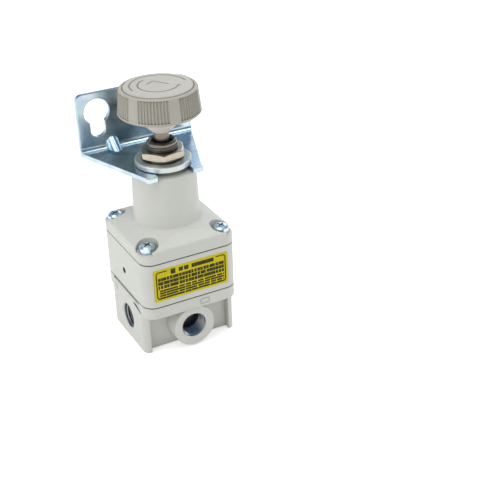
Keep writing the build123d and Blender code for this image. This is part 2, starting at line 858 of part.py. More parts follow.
def bracket():
    """The bent plate: fork and tapered shelf below, upright plate with two keyholes behind."""
    bracket_rear = bracket_back + bracket_thickness
    bend_outer = bracket_bend_radius + bracket_thickness
    shelf_length = bracket_rear - bracket_prong_tip
    upright_height = bracket_top - bracket_bottom
    section = Pos(bracket_rear - shelf_length / 2, bracket_bottom + upright_height / 2) * Rectangle(
        shelf_length, upright_height
    )
    section -= Pos(bracket_back - shelf_length / 2, bracket_plate_top + upright_height / 2) * Rectangle(
        shelf_length, upright_height
    )
    profile = extrude(Plane.YZ * section, bracket_half_width, both=True)
    outer_edge = profile.edges().filter_by(Axis.X).sort_by_distance((0, bracket_rear, bracket_bottom))[0]
    profile = fillet(outer_edge, bend_outer)
    inner_edge = profile.edges().filter_by(Axis.X).sort_by_distance((0, bracket_back, bracket_plate_top))[0]
    profile = fillet(inner_edge, bracket_bend_radius)
    folded = profile + [gusset(side) for side in (-1, 1)]
    folded &= Pos(0, 0, bracket_bottom) * extrude(shelf_outline(), upright_height)
    folded &= Plane.XZ.offset(-bracket_rear) * extrude(upright_outline(), shelf_length + 1)
    for side in (-1, 1):
        folded -= keyhole(side)
        folded -= gusset_dimple(side)
    return folded


def shelf_outline():
    """The bracket seen from above: taper, two blunt prongs and the fork between them."""
    rear = bracket_back + bracket_thickness
    outline = make_face(
        Polyline(
            (bracket_half_width, rear),
            (bracket_half_width, bracket_back),
            (bracket_front_half_width, bracket_taper_front),
            (bracket_front_half_width, bracket_prong_tip),
            (-bracket_front_half_width, bracket_prong_tip),
            (-bracket_front_half_width, bracket_taper_front),
            (-bracket_half_width, bracket_back),
            (-bracket_half_width, rear),
            close=True,
        )
    )
    fork_length = -bracket_prong_tip
    outline -= Circle(bracket_fork_radius)
    outline -= Pos(0, -fork_length / 2) * Rectangle(2 * bracket_fork_radius, fork_length)
    nearest = bracket_prong_tip - pick_tolerance
    furthest = bracket_prong_tip + pick_tolerance
    corners = outline.vertices().filter_by_position(Axis.Y, nearest, furthest)
    return fillet(corners, bracket_tip_round)


def upright_outline():
    """The bracket seen from the front, with its rounded top corners."""
    width = 2 * bracket_half_width
    height = bracket_top - bracket_bottom
    outline = Pos(0, bracket_bottom + height / 2) * RectangleRounded(width, height, bracket_corner_radius)
    return outline + Pos(0, bracket_bottom + height / 4) * Rectangle(width, height / 2)


def keyhole(side):
    """The cutter for a keyhole: round at the top with a slot below it."""
    x = side * keyhole_spread
    low = bracket_back
    high = bracket_back + bracket_thickness
    slot_height = keyhole_height - keyhole_slot_bottom - keyhole_slot_radius
    cutter = lying_y(keyhole_radius, low, high, x, keyhole_height)
    cutter += lying_y(keyhole_slot_radius, low, high, x, keyhole_height - slot_height)
    slot = Box(2 * keyhole_slot_radius, bracket_thickness, slot_height)
    return cutter + Pos(x, (low + high) / 2, keyhole_height - slot_height / 2) * slot


def gusset_bead(side, radius, drop):
    """A round bead across the bend, dropped by some way towards the corner."""
    length = sqrt(gusset_reach**2 + gusset_rise**2) + 2 * radius
    y = bracket_back - gusset_reach / 2
    z = bracket_plate_top + gusset_rise / 2
    slope = Vector(0, gusset_reach, gusset_rise).normalized()
    inward = Vector(0, gusset_rise, -gusset_reach).normalized() * drop
    start = Vector(side * gusset_spread, y, z) + inward - slope * (length / 2)
    return extrude(Plane(start, z_dir=slope) * Circle(radius), length)


def gusset(side):
    """The pressed stiffening bead on the inside of the bend."""
    corner = (Align.CENTER, Align.MAX, Align.MIN)
    room = Box(4 * gusset_radius, 2 * gusset_reach, 2 * gusset_reach, align=corner)
    room = Pos(side * gusset_spread, bracket_back + gusset_root, bracket_plate_top - gusset_root) * room
    return gusset_bead(side, gusset_radius, gusset_radius) & room


def gusset_dimple(side):
    """The hollow that pressing the bead leaves on the outside of the bend."""
    drop = gusset_radius + bracket_thickness
    return gusset_bead(side, gusset_dimple_radius, drop)


def bonnet():
    """The spring housing: square flange, sloped shoulder, round tower and neck."""
    flange_top = bonnet_bottom + bonnet_flange_height
    shoulder_top = flange_top + bonnet_shoulder_rise
    shell = shoulder(flange_top) + tower(flange_top, shoulder_top)
    shell += disc(neck_radius, bonnet_top, bonnet_top + neck_height)
    shell -= screw_pockets(shoulder_top + bonnet_base_round)
    shell -= four_holes(screw_hole_radius, bonnet_bottom, pocket_floor)
    shell -= disc(bonnet_mouth_radius, bonnet_bottom, bonnet_bottom + bonnet_mouth_depth)
    shell -= disc(bonnet_bore_radius, bonnet_bottom, bonnet_ceiling)
    return shell - disc(bushing_radius + thread_clearance, bonnet_ceiling, bonnet_top + neck_height)


def shoulder(flange_top):
    """The flange and the four slopes that rise from its round edge, eased by a cone."""
    rise = bonnet_shoulder_rise + bonnet_base_round
    slope_angle = degrees(atan2(body_width / 2 - bonnet_base_radius, bonnet_shoulder_rise))
    outline = Rectangle(body_width, body_depth)
    block = Pos(0, 0, bonnet_bottom) * extrude(outline, bonnet_flange_height)
    block += Pos(0, 0, flange_top) * extrude(outline, rise, taper=slope_angle)
    rim = block.edges().filter_by_position(Axis.Z, flange_top - pick_tolerance, flange_top + pick_tolerance)
    block = fillet(rim, bonnet_edge_round)
    block &= plate(body_width, body_depth, body_corner_radius, bonnet_bottom, flange_top + rise)
    fall = bonnet_shoulder_rise / (shoulder_corner_radius - bonnet_base_radius)
    cone_top = flange_top + fall * shoulder_corner_radius
    cone_reach = (cone_top - bonnet_bottom) / fall
    return block & turned((0, bonnet_bottom), (cone_reach, bonnet_bottom), (0, cone_top))


def screw_pockets(high):
    """The cutters for the four pockets round the screw heads, open at the corners."""
    pockets = four_holes(pocket_radius, pocket_floor, high)
    corner_size = pocket_radius + pocket_overrun
    corner = Box(corner_size, corner_size, high - pocket_floor, align=Align.MIN)
    for quarter, (x, y) in enumerate(((1, 1), (-1, 1), (-1, -1), (1, -1))):
        place = Pos(x * screw_spread, y * screw_spread, pocket_floor)
        pockets += place * Rot(0, 0, 90 * quarter) * corner
    return pockets


def tower(flange_top, shoulder_top):
    """The drafted spring tower, with a cove at its foot and a rounded top edge."""
    cove = bonnet_base_round
    cove_height = shoulder_top + cove / 2
    cove_centre = bonnet_base_radius + cove
    toe = (cove_centre - cove * cos(pi / 4), cove_height - cove * sin(pi / 4))
    bend = (cove_centre - cove * cos(pi / 8), cove_height - cove * sin(pi / 8))
    sunk = (toe[0] + cove, toe[1] - cove)
    top_edge = bonnet_top_radius - bonnet_top_round
    top_start = bonnet_top - bonnet_top_round
    diagonal = bonnet_top_round * cos(pi / 4)
    root = flange_top - root_overlap
    outline = [
        Line((0, root), (sunk[0], root)),
        Line((sunk[0], root), sunk),
        Line(sunk, toe),
        ThreePointArc(toe, bend, (bonnet_base_radius, cove_height)),
        Line((bonnet_base_radius, cove_height), (bonnet_top_radius, top_start)),
        ThreePointArc(
            (bonnet_top_radius, top_start),
            (top_edge + diagonal, top_start + diagonal),
            (top_edge, bonnet_top),
        ),
        Line((top_edge, bonnet_top), (0, bonnet_top)),
        Line((0, bonnet_top), (0, root)),
    ]
    return revolve(Plane.XZ * make_face(outline), Axis.Z)


def cover_screws():
    """The four long screws that hold the castings together."""
    head_bottom = pocket_floor + spring_washer_height
    head_top = head_bottom + screw_head_height
    tip = lower_height - screw_thread_depth + screw_tip_gap
    screw = turned(
        (0, tip),
        (screw_radius - screw_tip_chamfer, tip),
        (screw_radius, tip + screw_tip_chamfer),
        (screw_radius, head_bottom),
        (screw_head_radius, head_bottom),
        (screw_head_radius, head_top - 0.4 * screw_head_height),
        (0.75 * screw_head_radius, head_top - 0.08 * screw_head_height),
        (0.4 * screw_head_radius, head_top),
        (0, head_top),
    )
    recess = Box(screw_slot_length, screw_slot_width, 2 * screw_slot_depth)
    recess += Rot(0, 0, 90) * recess
    screw -= Pos(0, 0, head_top) * Rot(0, 0, screw_slot_angle) * recess
    return Compound(children=[Pos(x, y, 0) * screw for x, y in screw_places()])


def cover_spring_washers():
    """The split washers under the cover screws' heads."""
    washer = tube(spring_washer_radius, screw_hole_radius, pocket_floor, pocket_floor + spring_washer_height)
    gap = Box(2 * spring_washer_radius, spring_washer_gap, 3 * spring_washer_height)
    washer -= Pos(spring_washer_radius, 0, pocket_floor) * gap
    return Compound(children=[Pos(x, y, 0) * washer for x, y in screw_places()])


def front_label():
    """The thin plate stuck on the front of the middle casting."""
    face = RectangleRounded(label_width, label_height, label_corner_radius)
    place = Pos(label_x, -body_depth / 2, middle_bottom + label_centre_height) * Rot(90, 0, 0)
    return place * extrude(face, label_thickness)


PIECES = [
    lower_body, middle_body, bonnet, lower_diaphragm, upper_diaphragm, set_diaphragm,
    relay_spacer, relay_plate, relay_nut, exhaust_seat, supply_valve, valve_rubber,
    valve_seat, valve_spring, valve_guide, guide_oring, nozzle_body, nozzle,
    fixed_orifice, flapper, set_plate, spring_plate, setting_spring, spring_seat,
    seat_ball, adjusting_screw, panel_bushing, knob, knob_cap, knob_screw,
    panel_nut, clamp_washer, bracket, cover_screws, cover_spring_washers, front_label,
]

os.makedirs("parts", exist_ok=True)
for piece in PIECES:
    export_step(piece(), f"parts/{piece.__name__}.step")
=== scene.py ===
import json
from math import cos, pi, radians, sin, tau

import bmesh
import bpy
from mathutils import Matrix, Vector
from mathutils.bvhtree import BVHTree


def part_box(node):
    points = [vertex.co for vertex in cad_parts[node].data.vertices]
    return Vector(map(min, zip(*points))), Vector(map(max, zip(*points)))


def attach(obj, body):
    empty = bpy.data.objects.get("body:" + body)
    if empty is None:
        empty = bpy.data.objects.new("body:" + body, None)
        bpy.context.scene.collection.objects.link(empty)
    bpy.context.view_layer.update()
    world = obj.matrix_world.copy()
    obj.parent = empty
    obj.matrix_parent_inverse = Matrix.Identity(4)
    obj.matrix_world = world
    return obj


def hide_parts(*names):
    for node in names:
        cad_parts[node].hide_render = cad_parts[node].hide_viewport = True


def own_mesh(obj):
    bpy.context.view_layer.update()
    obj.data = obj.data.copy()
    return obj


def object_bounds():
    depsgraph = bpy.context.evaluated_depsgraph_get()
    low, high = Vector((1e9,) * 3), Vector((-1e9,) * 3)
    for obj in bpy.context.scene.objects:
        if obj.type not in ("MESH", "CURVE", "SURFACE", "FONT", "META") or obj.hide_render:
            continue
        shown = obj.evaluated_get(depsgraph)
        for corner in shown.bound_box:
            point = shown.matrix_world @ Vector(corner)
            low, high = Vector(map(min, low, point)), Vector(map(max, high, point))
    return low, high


# Millimetres in metres, and plain white
MM = 0.001
WHITE = (1.0, 1.0, 1.0, 1.0)

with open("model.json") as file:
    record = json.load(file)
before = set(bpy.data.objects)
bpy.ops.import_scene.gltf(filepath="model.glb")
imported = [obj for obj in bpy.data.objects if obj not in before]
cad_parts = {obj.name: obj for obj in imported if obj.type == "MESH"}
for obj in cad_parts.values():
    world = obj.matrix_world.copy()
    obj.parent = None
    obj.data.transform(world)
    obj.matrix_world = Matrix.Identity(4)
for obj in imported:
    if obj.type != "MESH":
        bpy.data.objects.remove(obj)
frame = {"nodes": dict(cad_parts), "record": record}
cad_box = [list(corner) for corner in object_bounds()]
nodes = frame["nodes"]


def low(node):
    """The lowest corner of a CAD node's box."""
    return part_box(node)[0]


def high(node):
    """The highest corner of a CAD node's box."""
    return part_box(node)[1]


def middle(node):
    """The middle of a CAD node's box."""
    return (low(node) + high(node)) / 2


# Materials


def linear(code):
    """A #RRGGBB colour as linear red, green, blue and alpha."""
    channels = [int(code[i:i + 2], 16) / 255 for i in (1, 3, 5)]
    return [c / 12.92 if c <= 0.04045 else ((c + 0.055) / 1.055) ** 2.4 for c in channels] + [1.0]


class Finish:
    """A node material on a Principled shader, built up one layer at a time."""

    def __init__(self, name, roughness, metallic=0.0, **settings):
        self.material = bpy.data.materials.new(name)
        self.material.use_nodes = True
        self.tree = self.material.node_tree
        self.shader = self.tree.nodes["Principled BSDF"]
        self.shader.inputs["Roughness"].default_value = roughness
        self.shader.inputs["Metallic"].default_value = metallic
        for key, value in settings.items():
            self.shader.inputs[key.replace("_", " ")].default_value = value
        self.place = self.node("ShaderNodeTexCoord").outputs["Object"]
        self.normal = None

    def node(self, kind, **settings):
        """Adds a node of a kind with its settings."""
        made = self.tree.nodes.new(kind)
        for key, value in settings.items():
            setattr(made, key, value)
        return made

    def feed(self, socket, value):
        """Sets a socket to a number or colour, or links another socket to it."""
        if isinstance(value, bpy.types.NodeSocket):
            self.tree.links.new(value, socket)
        else:
            socket.default_value = value

    def math(self, operation, first, second=0.0):
        """The result of a math operation on numbers or sockets."""
        made = self.node("ShaderNodeMath", operation=operation)
        for socket, value in zip(made.inputs, (first, second)):
            self.feed(socket, value)
        return made.outputs[0]

    def noise(self, size, detail=3.0, rough=0.55):
        """Noise whose features are about size millimetres."""
        scaled = self.node("ShaderNodeVectorMath", operation="DIVIDE")
        self.feed(scaled.inputs[0], self.place)
        self.feed(scaled.inputs[1], [size * MM] * 3)
        made = self.node("ShaderNodeTexNoise")
        self.feed(made.inputs["Vector"], scaled.outputs[0])
        made.inputs["Scale"].default_value = 1.0
        made.inputs["Detail"].default_value = detail
        made.inputs["Roughness"].default_value = rough
        return made.outputs["Fac"]

    def ranged(self, value, start, end, new_start, new_end):
        """Carries a value between start and end over to new_start and new_end, and stops there."""
        made = self.node("ShaderNodeMapRange")
        for socket, number in zip(made.inputs, (value, start, end, new_start, new_end)):
            self.feed(socket, number)
        return made.outputs[0]

    def mix(self, share, first, second):
        """The first colour where share is 0 and the second where it is 1."""
        made = self.node("ShaderNodeMix", data_type="RGBA")
        self.feed(made.inputs["Factor"], share)
        self.feed(made.inputs[6], first)
        self.feed(made.inputs[7], second)
        return made.outputs[2]

    def colour(self, value):
        """Sets or links the base colour."""
        self.feed(self.shader.inputs["Base Color"], value)

    def roughness(self, value):
        """Sets or links the roughness."""
        self.feed(self.shader.inputs["Roughness"], value)

    def soft_edges(self, radius):
        """Rounds the look of sharp edges by radius millimetres."""
        made = self.node("ShaderNodeBevel", samples=6)
        made.inputs["Radius"].default_value = radius * MM
        self.normal = made.outputs[0]
        self.feed(self.shader.inputs["Normal"], self.normal)

    def bump(self, height, depth):
        """Adds relief: height runs from 0 to 1 and stands for depth millimetres."""
        made = self.node("ShaderNodeBump")
        made.inputs["Distance"].default_value = depth * MM
        self.feed(made.inputs["Height"], height)
        if self.normal:
            self.feed(made.inputs["Normal"], self.normal)
        self.normal = made.outputs[0]
        self.feed(self.shader.inputs["Normal"], self.normal)

    def axes(self):
        """The object coordinates X, Y and Z, in metres."""
        split = self.node("ShaderNodeSeparateXYZ")
        self.feed(split.inputs[0], self.place)
        return split.outputs

    def radius(self):
        """Distance from the adjusting axis, in millimetres."""
        flat = self.node("ShaderNodeVectorMath", operation="MULTIPLY")
        self.feed(flat.inputs[0], self.place)
        self.feed(flat.inputs[1], [1 / MM, 1 / MM, 0.0])
        length = self.node("ShaderNodeVectorMath", operation="LENGTH")
        self.feed(length.inputs[0], flat.outputs[0])
        return length.outputs["Value"]

    def inside(self, axis, offset, height, radius, end):
        """1 within radius of a level line along X (0) or Y (1), at an offset and height, up to its end."""
        place = self.axes()
        off = self.math("SUBTRACT", place[1 - axis], offset)
        rise = self.math("SUBTRACT", place[2], height)
        squares = self.math("ADD", self.math("MULTIPLY", off, off), self.math("MULTIPLY", rise, rise))
        near = self.math("LESS_THAN", squares, radius * radius)
        return self.math("MULTIPLY", near, self.math("LESS_THAN", place[axis], end))

    def occlusion(self, distance):
        """1 in the open and less inside corners that are distance millimetres wide."""
        made = self.node("ShaderNodeAmbientOcclusion", samples=6)
        made.inputs["Distance"].default_value = distance * MM
        return made.outputs["AO"]


def casting_paint(name, grain_size, grain_depth, specks, bores=()):
    """Light warm grey stoved paint on a die casting, with painted shade in its creases and hollows, and its
    bores left as bare metal that is darkened deeper in as painted shade.
    """
    corner_rounding = 0.22
    swell_size = 4.5
    swell_depth = 0.03
    made = Finish(name, 0.4, Specular_IOR_Level=0.45)
    tone = made.mix(made.noise(7.0), linear("#CDCEC6"), linear("#D6D7D0"))
    fleck = made.ranged(made.noise(0.9, 4.0), 0.64, 0.72, 0.0, specks)
    tone = made.mix(fleck, tone, linear("#A3A49A"))
    pale = made.ranged(made.noise(0.7, 4.0, 0.7), 0.62, 0.7, 0.0, specks)
    tone = made.mix(pale, tone, linear("#E9EAE5"))
    # Painted shade: darker in creases and narrow corners, found by ambient occlusion
    painted_crevice_shade = made.ranged(made.occlusion(1.0), 0.3, 0.9, 0.5, 0.0)
    tone = made.mix(painted_crevice_shade, tone, linear("#8E8F86"))
    # Painted shade: near black deep in holes and in the gaps between parts
    painted_deep_shade = made.ranged(made.occlusion(2.0), 0.03, 0.25, 0.8, 0.0)
    tone = made.mix(painted_deep_shade, tone, linear("#2F2F2C"))
    rough = made.ranged(made.noise(2.5), 0.3, 0.7, 0.34, 0.48)
    if bores:
        bare = made.inside(*bores[0])
        for bore in bores[1:]:
            bare = made.math("MAXIMUM", bare, made.inside(*bore))
        # Painted shade: the bare metal darkens from grey to near black deeper inside each bore
        depth = made.ranged(made.occlusion(3.0), 0.15, 0.85, 1.0, 0.0)
        metal = made.mix(depth, linear("#85898C"), linear("#242627"))
        tone = made.mix(bare, tone, metal)
        made.feed(made.shader.inputs["Metallic"], bare)
    made.colour(tone)
    made.roughness(rough)
    made.soft_edges(corner_rounding)
    made.bump(made.noise(grain_size, 2.0), grain_depth)
    made.bump(made.noise(swell_size, 1.0), swell_depth)
    return made.material


def moulded_plastic(name, dark, light, shade, lines=None, hub_top=None):
    """Matt taupe plastic with a fine spark-eroded skin and painted shade in its creases, and lines sunk in
    its top darkened as painted shade, or a hub painted paler as a painted reflection of the white floor.
    """
    corner_rounding = 0.18
    skin_size = 0.16
    skin_depth = 0.012
    line_depth = 0.15
    made = Finish(name, 0.52, Specular_IOR_Level=0.4)
    tone = made.mix(made.noise(3.0), linear(dark), linear(light))
    if hub_top:
        # Painted reflection: the hub is painted paler, standing in for the white floor reflected in it
        pale_hub_painted_reflection = made.math("LESS_THAN", made.axes()[2], hub_top)
        tone = made.mix(pale_hub_painted_reflection, tone, linear("#E2DDD3"))
    # Painted shade: darker towards the shade colour in flutes and creases
    painted_crevice_shade = made.ranged(made.occlusion(0.6), 0.3, 0.85, 1.0, 0.0)
    tone = made.mix(painted_crevice_shade, tone, linear(shade))
    made.roughness(made.ranged(made.noise(0.5), 0.3, 0.7, 0.46, 0.6))
    made.soft_edges(corner_rounding)
    made.bump(made.noise(skin_size, 2.0), skin_depth)
    if lines:
        sunk = lines(made)
        # Painted shade: the sunk lines are darkened towards the shade colour
        tone = made.mix(made.math("MULTIPLY", sunk, 0.85), tone, linear(shade))
        made.bump(made.math("SUBTRACT", 1.0, sunk), line_depth)
    made.colour(tone)
    return made.material


def turn_arrow(made):
    """The lines on the knob's cap, in millimetres: two arcs, a chevron and a small round mark."""
    line_floor = 0.14
    line_edge = 0.45
    place = made.axes()
    x = made.math("DIVIDE", place[0], MM)
    y = made.math("DIVIDE", place[1], MM)
    angle = made.math("DEGREES", made.math("ARCTAN2", y, x))
    distance = made.radius()

    def line(away):
        return made.ranged(away, line_floor, line_edge, 1.0, 0.0)

    def ring(radius, start, sweep):
        turned = made.math("FLOORED_MODULO", made.math("SUBTRACT", angle, start), 360.0)
        away = made.math("ABSOLUTE", made.math("SUBTRACT", distance, radius))
        return made.math("MULTIPLY", line(away), made.math("LESS_THAN", turned, sweep))

    def stroke(first, second):
        reach = second - first
        across = made.math("SUBTRACT", x, first.x)
        along = made.math("SUBTRACT", y, first.y)
        part_x = made.math("MULTIPLY", across, reach.x)
        part_y = made.math("MULTIPLY", along, reach.y)
        share = made.ranged(made.math("ADD", part_x, part_y), 0.0, reach.length_squared, 0.0, 1.0)
        off_x = made.math("SUBTRACT", across, made.math("MULTIPLY", share, reach.x))
        off_y = made.math("SUBTRACT", along, made.math("MULTIPLY", share, reach.y))
        square_x = made.math("MULTIPLY", off_x, off_x)
        square_y = made.math("MULTIPLY", off_y, off_y)
        return line(made.math("SQRT", made.math("ADD", square_x, square_y)))

    chevron_tip = Vector((-0.1, 3.8))
    sunk = ring(radius=9.4, start=-5.0, sweep=190.0)
    for mark in (
        ring(radius=6.7, start=112.0, sweep=218.0),
        stroke(Vector((-2.9, 2.2)), chevron_tip),
        stroke(chevron_tip, Vector((3.1, -1.0))),
        stroke(Vector((5.8, -4.4)), Vector((5.9, -4.4))),
    ):
        sunk = made.math("MAXIMUM", sunk, mark)
    return sunk


def zinc_sheet():
    """Zinc plate with blue passivate: cloudy tones and a soft, slightly uneven mirror."""
    corner_rounding = 0.3
    wave_size = 8.0
    wave_depth = 0.008
    made = Finish("zinc_plate", 0.25, 1.0)
    cloud = made.ranged(made.noise(7.0, 1.5), 0.35, 0.65, 0.0, 1.0)
    tone = made.mix(cloud, linear("#A4BAC5"), linear("#C9D7DB"))
    bloom = made.ranged(made.noise(11.0, 1.0), 0.52, 0.68, 0.0, 0.5)
    tone = made.mix(bloom, tone, linear("#BCCAE0"))
    fleck = made.ranged(made.noise(0.5, 2.0), 0.68, 0.78, 0.0, 0.15)
    made.colour(made.mix(fleck, tone, linear("#8FA3AE")))
    made.roughness(made.ranged(made.noise(5.0, 1.0), 0.3, 0.7, 0.19, 0.28))
    made.soft_edges(corner_rounding)
    made.bump(made.noise(wave_size, 1.0), wave_depth)
    return made.material


def turned_metal(name, dark, light, rough, groove, soft=0.12, rim=None):
    """Metal with fine turning marks round the adjusting axis and painted shade in its creases; past a rim
    radius it is painted paler and duller, as a painted highlight on a lit rim.
    """
    mark_depth = 0.01
    made = Finish(name, rough, 1.0)
    marks = made.node("ShaderNodeTexNoise", noise_dimensions="2D")
    place = made.node("ShaderNodeCombineXYZ")
    made.feed(place.inputs[0], made.math("MULTIPLY", made.radius(), 1 / groove))
    made.feed(place.inputs[1], made.math("MULTIPLY", made.axes()[2], 1 / (groove * MM)))
    made.feed(marks.inputs["Vector"], place.outputs[0])
    marks.inputs["Scale"].default_value = 1.0
    stain = made.noise(1.8, 3.0)
    tone = made.mix(stain, linear(dark), linear(light))
    if rim:
        # Painted highlight: past the rim radius the metal is painted pale and less metallic, as if catching
        # the light
        painted_lit_rim = made.math("GREATER_THAN", made.radius(), rim)
        tone = made.mix(painted_lit_rim, tone, linear("#CDD2CD"))
        made.feed(made.shader.inputs["Metallic"], made.ranged(painted_lit_rim, 0.0, 1.0, 1.0, 0.72))
    # Painted shade: darker towards near black in creases and recesses
    painted_crevice_shade = made.ranged(made.occlusion(0.7), 0.25, 0.85, 0.85, 0.0)
    made.colour(made.mix(painted_crevice_shade, tone, linear("#3A3936")))
    made.roughness(made.ranged(marks.outputs["Fac"], 0.3, 0.7, rough - 0.06, rough + 0.08))
    made.soft_edges(soft)
    made.bump(marks.outputs["Fac"], mark_depth)
    return made.material


def rubber():
    """Matt black rubber."""
    made = Finish("rubber", 0.6)
    made.colour(made.mix(made.noise(1.2), linear("#1C1C1B"), linear("#2B2B29")))
    made.roughness(made.ranged(made.noise(0.6), 0.3, 0.7, 0.5, 0.72))
    made.bump(made.noise(0.25), 0.01)
    return made.material


def label_film():
    """Yellow film with a dark border and rows of plain bars printed on it, in millimetres."""
    made = Finish("label_film", 0.45, Specular_IOR_Level=0.2)
    centre = middle("front_label")
    half = (high("front_label") - low("front_label")) / 2
    place = made.axes()
    across = made.math("DIVIDE", made.math("SUBTRACT", place[0], centre.x), MM)
    up = made.math("DIVIDE", made.math("SUBTRACT", place[2], centre.z), MM)
    half_width = half.x / MM
    half_height = half.z / MM

    def between(value, start, end):
        above = made.math("GREATER_THAN", value, start)
        return made.math("MULTIPLY", above, made.math("LESS_THAN", value, end))

    def block(left, right, bottom, top):
        return made.math("MULTIPLY", between(across, left, right), between(up, bottom, top))

    def either(first, second):
        return made.math("MAXIMUM", first, second)

    # The border is a band at a set depth inside a rounded rectangle, open at its top
    corner = 1.2
    inset = 0.75
    line = 0.46
    side = made.math("SUBTRACT", made.math("ABSOLUTE", across), half_width - inset - corner)
    rise = made.math("SUBTRACT", made.math("ABSOLUTE", up), half_height - inset - corner)
    side = made.math("MAXIMUM", side, 0.0)
    rise = made.math("MAXIMUM", rise, 0.0)
    reach = made.math("SQRT", made.math("ADD", made.math("POWER", side, 2.0), made.math("POWER", rise, 2.0)))
    border = between(reach, corner - line, corner)
    heading = block(left=-8.9, right=9.4, bottom=3.0, top=half_height)
    border = made.math("MULTIPLY", border, made.math("SUBTRACT", 1.0, heading))

    # The heading is four stout bars, and the rows below are finer ones
    stout = block(left=-7.6, right=-5.8, bottom=3.4, top=5.4)
    stout = either(stout, block(left=-4.6, right=-3.0, bottom=3.6, top=5.2))
    stout = either(stout, block(left=-2.6, right=-0.9, bottom=3.6, top=5.2))
    stout = either(stout, block(left=0.2, right=8.6, bottom=3.7, top=5.2))
    field_edge = half_width - 1.5

    def rows(bottom, top, pitch, gap, share, word, seed):
        """Rows of bars; gap and share are parts of a row's pitch, and word is a bar's length."""
        row = made.math("DIVIDE", made.math("SUBTRACT", up, bottom), pitch)
        within = made.math("FRACT", row)
        ink = between(within, gap, gap + share)
        number = made.math("ADD", made.math("FLOOR", row), seed)
        words = made.math("DIVIDE", across, word)
        cell = made.node("ShaderNodeTexWhiteNoise", noise_dimensions="2D")
        address = made.node("ShaderNodeCombineXYZ")
        made.feed(address.inputs[0], made.math("FLOOR", words))
        made.feed(address.inputs[1], number)
        made.feed(cell.inputs["Vector"], address.outputs[0])
        spot = made.math("FRACT", words)
        length = made.ranged(cell.outputs["Value"], 0.0, 1.0, 0.72, 1.1)
        bar = made.math("LESS_THAN", spot, length)
        field = block(-field_edge, field_edge, bottom, top)
        return made.math("MULTIPLY", field, made.math("MULTIPLY", ink, bar))

    large = rows(bottom=-1.5, top=3.0, pitch=1.5, gap=0.08, share=0.84, word=1.15, seed=3.0)
    small = rows(bottom=-5.4, top=-1.62, pitch=0.93, gap=0.1, share=0.76, word=2.4, seed=11.0)
    print_mask = either(either(border, stout), either(large, small))
    ink = made.math("MULTIPLY", print_mask, made.ranged(made.noise(0.5), 0.2, 0.6, 0.82, 1.0))
    film = made.mix(made.noise(4.0), linear("#CCBC08"), linear("#D8C90E"))
    made.colour(made.mix(ink, film, linear("#1F1E04")))
    made.roughness(made.ranged(made.noise(1.5), 0.3, 0.7, 0.4, 0.52))
    made.bump(made.noise(2.5, 1.0), 0.012)
    return made.material


def floor_paint():
    """White studio floor: it glows for the camera and in reflections, more with distance."""
    near = 0.1
    far = 0.6
    near_glow = 0.45
    far_glow = 0.75
    made = Finish("studio_floor", 0.9, Specular_IOR_Level=0.1)
    made.colour(made.mix(made.noise(60.0), linear("#F1F1F0"), linear("#F6F6F5")))
    path = made.node("ShaderNodeLightPath")
    seen = made.math("MAXIMUM", path.outputs["Is Camera Ray"], path.outputs["Is Glossy Ray"])
    seen = made.math("MAXIMUM", seen, path.outputs["Is Transmission Ray"])
    made.shader.inputs["Emission Color"].default_value = WHITE
    away = made.math("MULTIPLY", made.radius(), MM)
    glow = made.ranged(away, near, far, near_glow, far_glow)
    made.feed(made.shader.inputs["Emission Strength"], made.math("MULTIPLY", seen, glow))
    return made.material


# Sizes that the finishes and the threads share
skirt_height = 8.85 * MM
skirt_bottom = high("knob").z - skirt_height
port_height = 8.3 * MM
port_mouth_radius = 4.55 * MM
vent_drop = 9.3 * MM
vent_radius = 1.15 * MM

# The washer's finish changes at this distance from the axis, in millimetres: pale past it as a painted
# highlight on the rim, and dark within it as the painted shadow of the nut
washer_well_radius = 7.35

# Bores for the paint to leave bare, darkened deeper in as painted shade: axis, offset, height, radius and
# where they end
port_bores = [
    (0, 0.0, port_height, port_mouth_radius, high("lower_body").x + MM),
    (1, 0.0, port_height, port_mouth_radius, 0.0),
]
vent_hole = [(0, 0.0, high("middle_body").z - vent_drop, vent_radius, 0.0)]

# Smooth and shot-blasted paint: grain size, grain depth and how much the specks show
smooth_grain = (0.55, 0.012, 0.22)
coarse_grain = (0.55, 0.1, 0.65)
lower_paint = casting_paint("casting_paint_coarse", *coarse_grain, port_bores)
middle_paint = casting_paint("casting_paint_vented", *smooth_grain, vent_hole)
# Bare metal painted dark: partly the grey of machined metal and partly painted shade inside the ports
bare_metal_and_painted_shade = turned_metal("port_thread", "#7F8386", "#9CA0A3", 0.34, 0.1)
finishes = {
    "casting_paint": casting_paint("casting_paint", *smooth_grain),
    "knob_plastic": moulded_plastic("knob_plastic", "#AEAB9F", "#B9B6AA", "#4F4C44", hub_top=skirt_bottom),
    "cap_plastic": moulded_plastic("cap_plastic", "#BCB9AF", "#C5C2B8", "#77736A", lines=turn_arrow),
    "zinc_plate": zinc_sheet(),
    "screw_zinc": turned_metal("screw_zinc", "#C3D6DE", "#E4EDF1", 0.32, 0.09),
    "nickel": turned_metal("nickel", "#A99F8F", "#C6BDAD", 0.27, 0.12, 0.2),
    # Painted shadow: the washer's well is dark as the nut's shadow, and its rim pale as painted light
    "washer_zinc": turned_metal("washer_zinc", "#8C8C86", "#A3A39B", 0.34, 0.14, rim=washer_well_radius),
    "stem_steel": turned_metal("stem_steel", "#69645A", "#8C857B", 0.3, 0.1),
    "spring_steel": turned_metal("spring_steel", "#8F8F8E", "#B5B5B3", 0.3, 0.1, 0.05),
    "inner_aluminium": turned_metal("inner_aluminium", "#A9A9A8", "#C9C9C7", 0.34, 0.13, 0.05),
    "inner_brass": turned_metal("inner_brass", "#A98A45", "#C9AA62", 0.3, 0.13, 0.05),
    "rubber": rubber(),
    "label_film": label_film(),
}


def dress(thing, material):
    """Gives an object one material."""
    thing.data.materials.clear()
    thing.data.materials.append(material)


